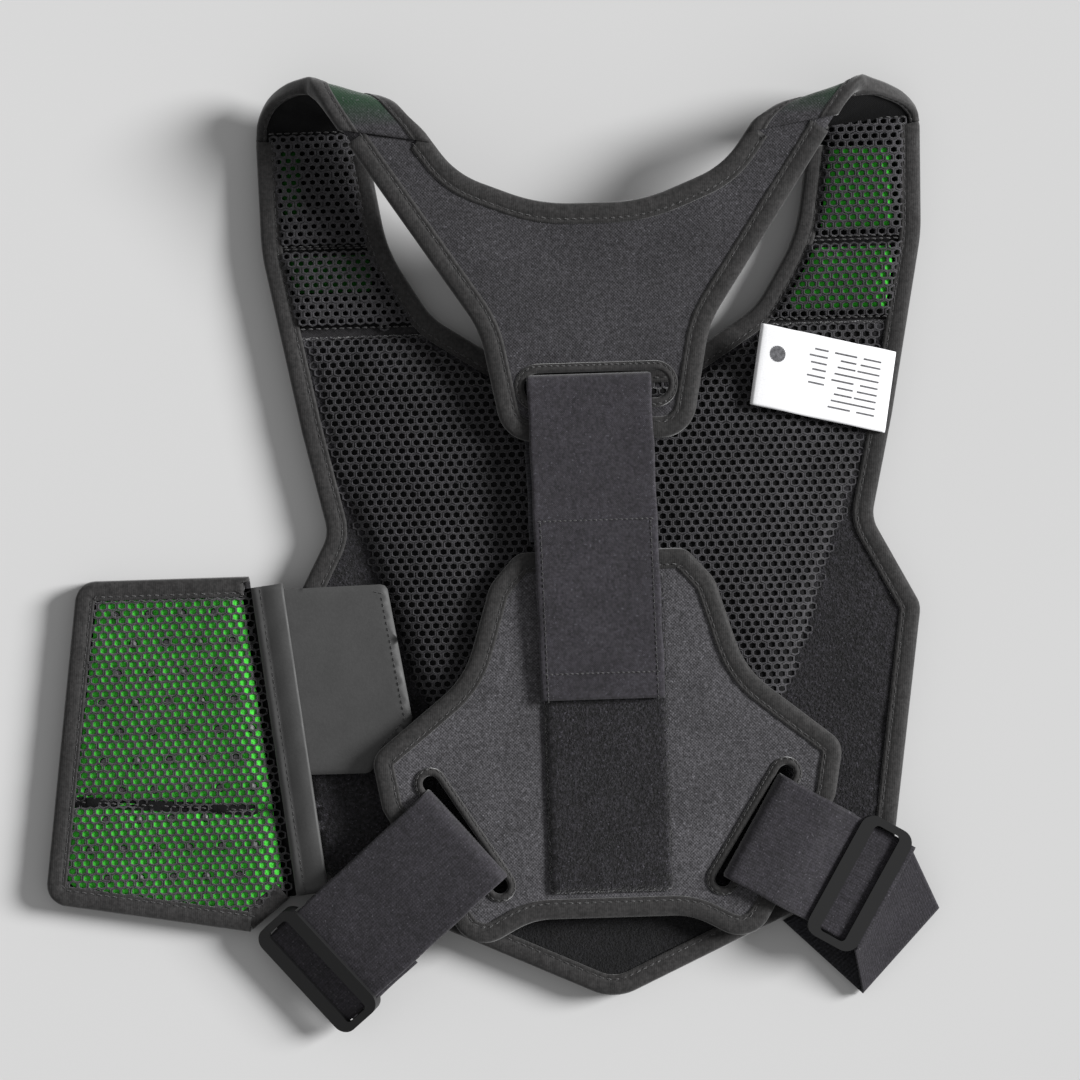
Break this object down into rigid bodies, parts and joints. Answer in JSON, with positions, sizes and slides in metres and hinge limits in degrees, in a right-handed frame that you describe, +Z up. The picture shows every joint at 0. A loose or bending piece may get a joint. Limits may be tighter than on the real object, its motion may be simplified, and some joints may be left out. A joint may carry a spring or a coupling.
{
  "type": "back brace",
  "caption": "Vest-type back brace lying flat: padded mesh front panel, back yoke, central strap, lumbar plate, elastic straps with slide buckles and a foam side wing.",
  "frame": {"origin": "on the brace's centre line, on the floor face of the front panel", "axes": "+Y towards the shoulders, +Z up from the face that the brace lies on, +X to the right seen from above"},
  "size_m": [0.386, 0.4054, 0.0371],
  "materials": {
    "shell_fabric": "matt woven nylon",
    "yoke_fabric": "coarse oxford weave",
    "lining_fabric": "smooth knitted lining",
    "edge_tape": "grosgrain tape",
    "spacer_mesh": "open spacer mesh",
    "loop_pile": "brushed loop pile",
    "hook_tape": "moulded hooks",
    "webbing": "woven strap",
    "elastic": "ribbed elastic",
    "green_foam": "perforated soft foam",
    "core_foam": "closed-cell foam",
    "stiffener": "polypropylene board",
    "buckle": "satin moulded nylon",
    "tab_fabric": "smooth coated tab",
    "label_satin": "white satin ribbon"
  },
  "bodies": {
    "front_panel": {"front_shell": "shell_fabric", "front_foam": "core_foam", "panel_binding": "edge_tape", "neckline_binding": "edge_tape", "chest_mesh_pad": "spacer_mesh", "loop_lining_left": "loop_pile", "loop_lining_right": "loop_pile", "loop_lining_bottom": "loop_pile", "strap_mesh_upper_left": "spacer_mesh", "strap_pad_upper_left": "green_foam", "strap_mesh_lower_left": "spacer_mesh", "strap_pad_lower_left": "green_foam", "strap_mesh_upper_right": "spacer_mesh", "strap_pad_upper_right": "green_foam", "strap_mesh_lower_right": "spacer_mesh", "strap_pad_lower_right": "green_foam", "shoulder_fold_left": "yoke_fabric", "shoulder_fold_right": "yoke_fabric", "elastic_left": "elastic", "elastic_left_return": "elastic", "elastic_left_tail": "elastic", "elastic_right": "elastic", "elastic_right_return": "elastic", "elastic_right_tail": "elastic", "elastic_right_under": "elastic"},
    "back_yoke": {"yoke_lining": "lining_fabric", "yoke_foam": "core_foam", "yoke_panel": "yoke_fabric", "neck_binding": "edge_tape", "yoke_edge_binding": "edge_tape", "yoke_slot_rim": "edge_tape", "strap_loop": "webbing"},
    "central_strap": {"central_strap": "webbing", "strap_hook_patch": "hook_tape", "strap_return_layer": "webbing"},
    "lumbar_plate": {"lumbar_backing": "shell_fabric", "lumbar_board": "stiffener", "lumbar_cover": "yoke_fabric", "lumbar_binding": "edge_tape", "lumbar_loop_strip": "loop_pile", "lumbar_slot_rim_left": "edge_tape", "lumbar_slot_rim_right": "edge_tape"},
    "slider_left": {"slider_left": "buckle"},
    "slider_right": {"slider_right": "buckle"},
    "wing_joint": {"wing_root": "spacer_mesh", "wing_tape": "edge_tape", "wing_tab": "tab_fabric", "wing_hook_patch": "hook_tape"},
    "side_wing": {"wing_backing": "shell_fabric", "wing_foam": "green_foam", "wing_mesh": "spacer_mesh", "wing_binding": "edge_tape"},
    "care_label": {"care_label": "label_satin"}
  },
  "joints": [
    {"name": "yoke_open", "type": "hinge", "parent": "front_panel", "child": "back_yoke", "pos_m": [0, 0.178, 0.019], "axis": [-1, 0, 0], "range_deg": [0, 110], "deforming": ["shoulder_fold_left", "shoulder_fold_right"]},
    {"name": "strap_swing", "type": "hinge", "parent": "back_yoke", "child": "central_strap", "pos_m": [0, 0.041, 0.0334], "axis": [-1, 0, 0], "range_deg": [0, 120]},
    {"name": "lumbar_shift", "type": "slide", "parent": "front_panel", "child": "lumbar_plate", "axis": [0, 0.9986, 0.0523], "range_m": [-0.008, 0.004], "deforming": ["elastic_left", "elastic_left_return", "elastic_left_tail", "elastic_right", "elastic_right_return", "elastic_right_tail", "elastic_right_under"]},
    {"name": "left_slide", "type": "slide", "parent": "front_panel", "child": "slider_left", "axis": [0.6808, 0.5919, 0.4314], "range_m": [0, 0.008], "deforming": ["elastic_left", "elastic_left_return", "elastic_left_tail"]},
    {"name": "right_slide", "type": "slide", "parent": "front_panel", "child": "slider_right", "axis": [-0.8603, 0.5067, 0.0551], "range_m": [0, 0.01], "deforming": ["elastic_right", "elastic_right_return", "elastic_right_tail", "elastic_right_under"]},
    {"name": "wing_adjust", "type": "slide", "parent": "front_panel", "child": "wing_joint", "axis": [-1, 0, 0], "range_m": [0, 0.02]},
    {"name": "wing_fold", "type": "hinge", "parent": "wing_joint", "child": "side_wing", "pos_m": [-0.155, -0.08, 0.0102], "axis": [0, 1, 0], "range_deg": [0, 90]},
    {"name": "label_flip", "type": "hinge", "parent": "front_panel", "child": "care_label", "pos_m": [0.1255, 0.06, 0.0134], "axis": [0.169, 0.9856, 0], "range_deg": [0, 120]}
  ]
}
